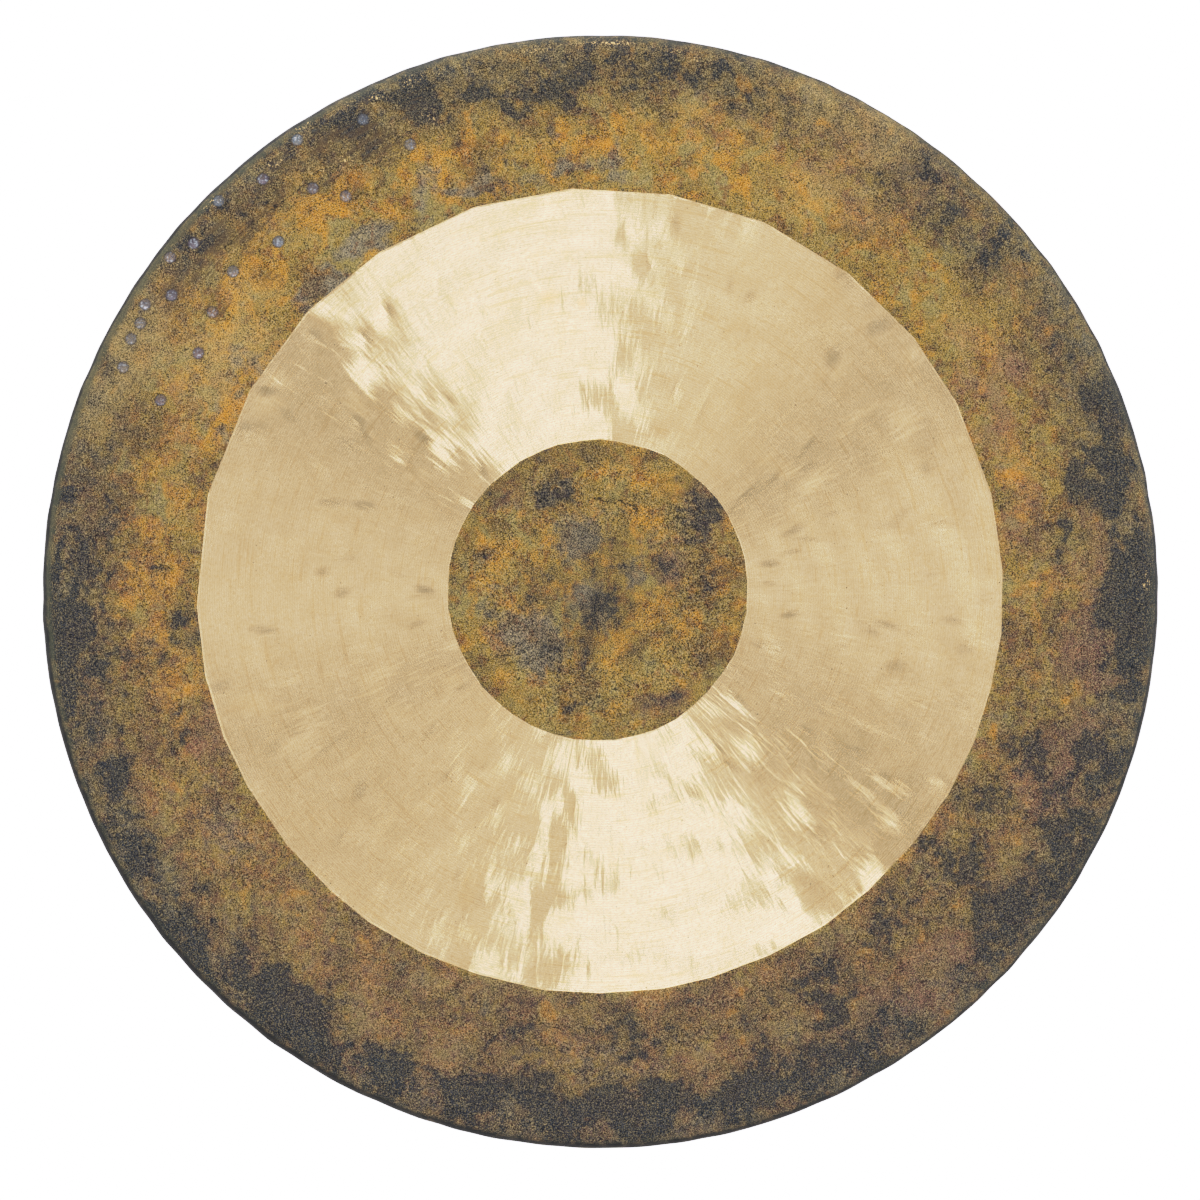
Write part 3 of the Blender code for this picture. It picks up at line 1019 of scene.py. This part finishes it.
def makeGong():
    mesh = buildDisc()
    shapeDisc(mesh)
    disc = place("gongDisc", mesh)
    # the origin lies midway between the two cord holes
    holeHeight = holeReach() * cos(radians(plate["holeAngle"]))
    disc.location = Vector((0, -plate["holeDepth"], -holeHeight)) * mm
    mesh.materials.append(oxideMaterial())
    mesh.materials.append(scrapedMaterial())
    print("finishes: oxide and scraped ring")
    drillHoles(disc, drilledMaterial())
    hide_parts("gong_disc")
    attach(disc, "root")
    print("gong disc:", len(disc.data.polygons), "faces")
    return disc


studio = {
    "frameWidth": 764.2,  # mm across the picture at the gong
    "aimBelow": 5.4,  # the gong hangs a little above the middle of the picture
    "distance": 10.0,  # m
    "floorBelow": 0.95,  # m under the middle of the gong
    "floorRadius": 6.0,
    "floorSides": 128,
    "floorGreys": ((200, 199, 196), (208, 207, 204)),
    "floorRoughness": 0.75,
    "white": 2.2,  # the level that the film records as white
    # how the film records bright red, green and blue light: (level, recorded)
    "film": (
        ((0.5, 0.5), (0.6, 0.597), (0.68, 0.647), (0.76, 0.68), (0.9, 0.722), (1.08, 0.772), (1.42, 0.868)),
        ((0.45, 0.45), (0.5, 0.493), (0.57, 0.54), (0.67, 0.602), (0.8, 0.667), (1.05, 0.757), (1.42, 0.868)),
        ((0.5, 0.5), (0.62, 0.61), (1.0, 0.79)),
    ),
    # from the front of the studio (y of the direction) to its sides, the walls get lighter
    # and the card darker, by these factors
    "front": (-0.975, -0.89),
    "wallFade": (0.62, 1.86),
    "cardFade": (1.66, 0.2),
    # over this part the card also leans, by these shares of a turn
    "leanFrom": (-0.975, -0.925),
    "lean": (0.0197, -0.0107),
    "plainWall": 1.2,  # what is brighter than this is the card
    "brightest": 4.0,  # the level that stands for 1 in the ramp
    # studio walls by angle round the gong's axis, anticlockwise from the right: (degrees, level)
    "walls": (
        (0, 1.06), (15, 1.06), (30, 0.65), (45, 0.69), (60, 0.91), (75, 0.77), (83, 0.9), (87, 3.2),
        (103, 3.0), (121, 2.95), (124.5, 3.6), (127, 3.3), (133, 0.46), (146, 0.5), (158, 0.7), (172, 0.71),
        (180, 0.82), (195, 0.58), (210, 0.46), (225, 0.42), (240, 0.75), (345, 0.9), (360, 1.06),
    ),
}


def makeFloor(disc):
    bm = bmesh.new()
    bmesh.ops.create_circle(bm, cap_ends=True, segments=studio["floorSides"], radius=studio["floorRadius"])
    mesh = bpy.data.meshes.new("studioFloor")
    bm.to_mesh(mesh)
    bm.free()
    floor = place("studioFloor", mesh)
    floor.location = (0, 0, disc.location.z - studio["floorBelow"])
    material, tree, shader, where = startMaterial("paleFloor")
    cloud = grain(tree, where, 3, 4, 0.6)
    darker, lighter = studio["floorGreys"]
    colour = blend(tree, cloud, linear(darker), linear(lighter))
    plugAll(tree, shader, {"Base Color": colour, "Roughness": studio["floorRoughness"]})
    mesh.materials.append(material)


def makeLight():
    # Soft light from pale walls and one long bright card, which the scraped ring mirrors as two wedges
    world = bpy.data.worlds.new("softStudio")
    bpy.context.scene.world = world
    world.use_nodes = True
    tree = world.node_tree
    tree.nodes.clear()
    where = add(tree, "TexCoord").outputs["Generated"]
    parts = add(tree, "SeparateXYZ", {0: where})
    turn = calc(tree, "ARCTAN2", parts.outputs["Z"], parts.outputs["X"])
    lean = between(tree, parts.outputs["Y"], *studio["leanFrom"], *studio["lean"])
    share = calc(tree, "FRACT", calc(tree, "ADD", calc(tree, "DIVIDE", turn, 2 * pi), lean))
    ramp = add(tree, "ValToRGB", {0: share})
    stops = studio["walls"]
    highest = studio["brightest"]
    elements = ramp.color_ramp.elements
    elements.remove(elements[1])
    elements[0].position = 0.0
    elements[0].color = (stops[0][1] / highest,) * 3 + (1,)
    for azimuth, level in stops[1:]:
        elements.new(azimuth / 360).color = (level / highest,) * 3 + (1,)
    level = times(tree, ramp.outputs[0], highest)
    wall = calc(tree, "MINIMUM", level, studio["plainWall"])
    card = calc(tree, "SUBTRACT", level, wall)
    wallFade = between(tree, parts.outputs["Y"], *studio["front"], *studio["wallFade"])
    cardFade = between(tree, parts.outputs["Y"], *studio["front"], *studio["cardFade"])
    level = total(tree, (wall, wallFade), (card, cardFade))
    walls = add(tree, "Background", {"Color": (1, 1, 1, 1), "Strength": level})
    plain = add(tree, "Background", {"Color": (1, 1, 1, 1), "Strength": studio["white"]})
    seen = add(tree, "LightPath").outputs["Is Camera Ray"]
    both = add(tree, "MixShader", {0: seen, 1: walls.outputs[0], 2: plain.outputs[0]})
    add(tree, "OutputWorld", {0: both.outputs[0]})


def makeCamera(disc):
    data = bpy.data.cameras.new("camera")
    camera = place("camera", data)
    away = studio["distance"]
    data.sensor_width = 36
    data.lens = data.sensor_width * away / (studio["frameWidth"] * mm)
    data.clip_end = 100
    camera.location = (0, disc.location.y - away, disc.location.z - studio["aimBelow"] * mm)
    camera.rotation_euler = (radians(90), 0, 0)
    bpy.context.scene.camera = camera
    setFilm()


def setFilm():
    # Bright light rolls off softly towards white, as in a photograph
    view = bpy.context.scene.view_settings
    view.view_transform = "Standard"
    view.use_curve_mapping = True
    mapping = view.curve_mapping
    mapping.white_level = (studio["white"],) * 3
    for curve, film in zip(mapping.curves, studio["film"]):
        for point, end in zip(curve.points, (0.0, 1.0)):
            point.location = (end, end)
        for level, recorded in film:
            curve.points.new(level / studio["white"], recorded)
        for point in list(curve.points)[:2]:
            point.handle_type = "VECTOR"
    mapping.update()


gong = makeGong()
makeFloor(gong)
makeLight()
makeCamera(gong)
print("studio: floor, light and camera set")
